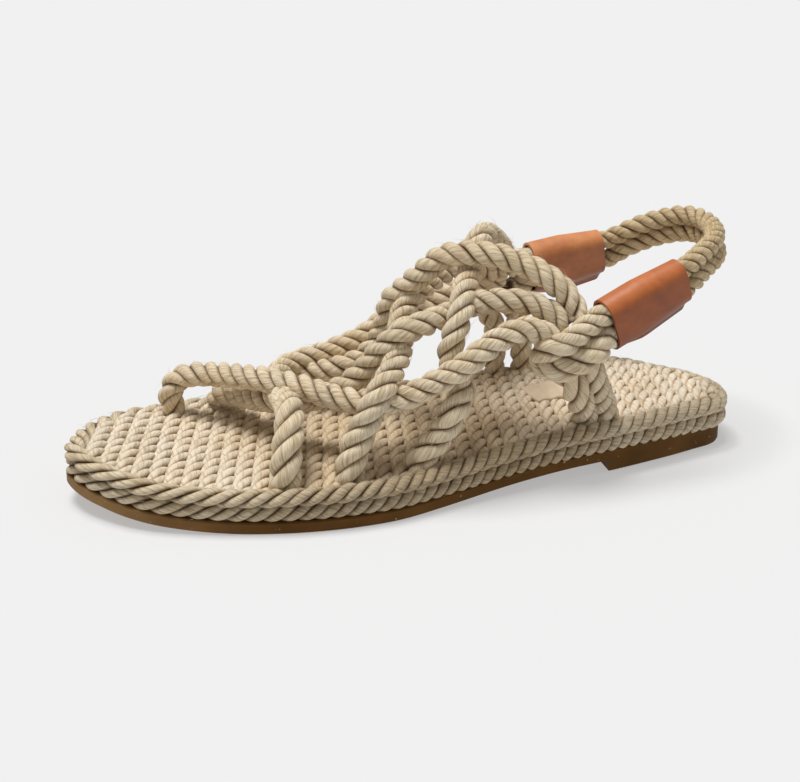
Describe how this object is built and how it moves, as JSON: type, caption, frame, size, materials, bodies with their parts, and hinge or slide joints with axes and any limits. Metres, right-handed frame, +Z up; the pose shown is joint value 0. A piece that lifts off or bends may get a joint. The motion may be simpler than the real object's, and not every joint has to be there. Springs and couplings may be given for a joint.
{
  "type": "rope sandal",
  "caption": "Flat sandal with a web of thick natural rope over the foot, leather sleeves on the heel strap and a rope edged rubber sole.",
  "frame": {"origin": "on the floor below the ball of the foot, on the outsole's flat spot", "axes": "+X from the toe to the heel, +Y to the inner side of the left foot, +Z up"},
  "size_m": [0.2599, 0.1003, 0.089],
  "materials": {
    "rubber": "semi-matte moulded rubber, olive tan, fine light specks",
    "edge_rope_lower": "twisted natural rope, matte",
    "edge_rope_upper": "twisted natural rope, matte",
    "footbed_rope": "rows of twisted natural rope, matte",
    "patch": "smooth woven patch, blank",
    "web_rope": "three-strand natural rope, soft sheen along the fibres",
    "heel_rope_upper": "three-strand natural rope",
    "heel_rope_lower": "three-strand natural rope",
    "sleeve_outer": "smooth cognac leather, slight wear at the edges",
    "sleeve_inner": "smooth cognac leather, slight wear at the edges"
  },
  "bodies": {
    "root": {"outsole": "rubber", "edge_rope_lower": "edge_rope_lower", "edge_rope_upper": "edge_rope_upper", "insole": "footbed_rope", "insole_patch": "patch", "upper": "web_rope", "heel_rope_upper": "heel_rope_upper", "heel_rope_lower": "heel_rope_lower", "sleeve_outer": "sleeve_outer", "sleeve_inner": "sleeve_inner"}
  },
  "joints": []
}
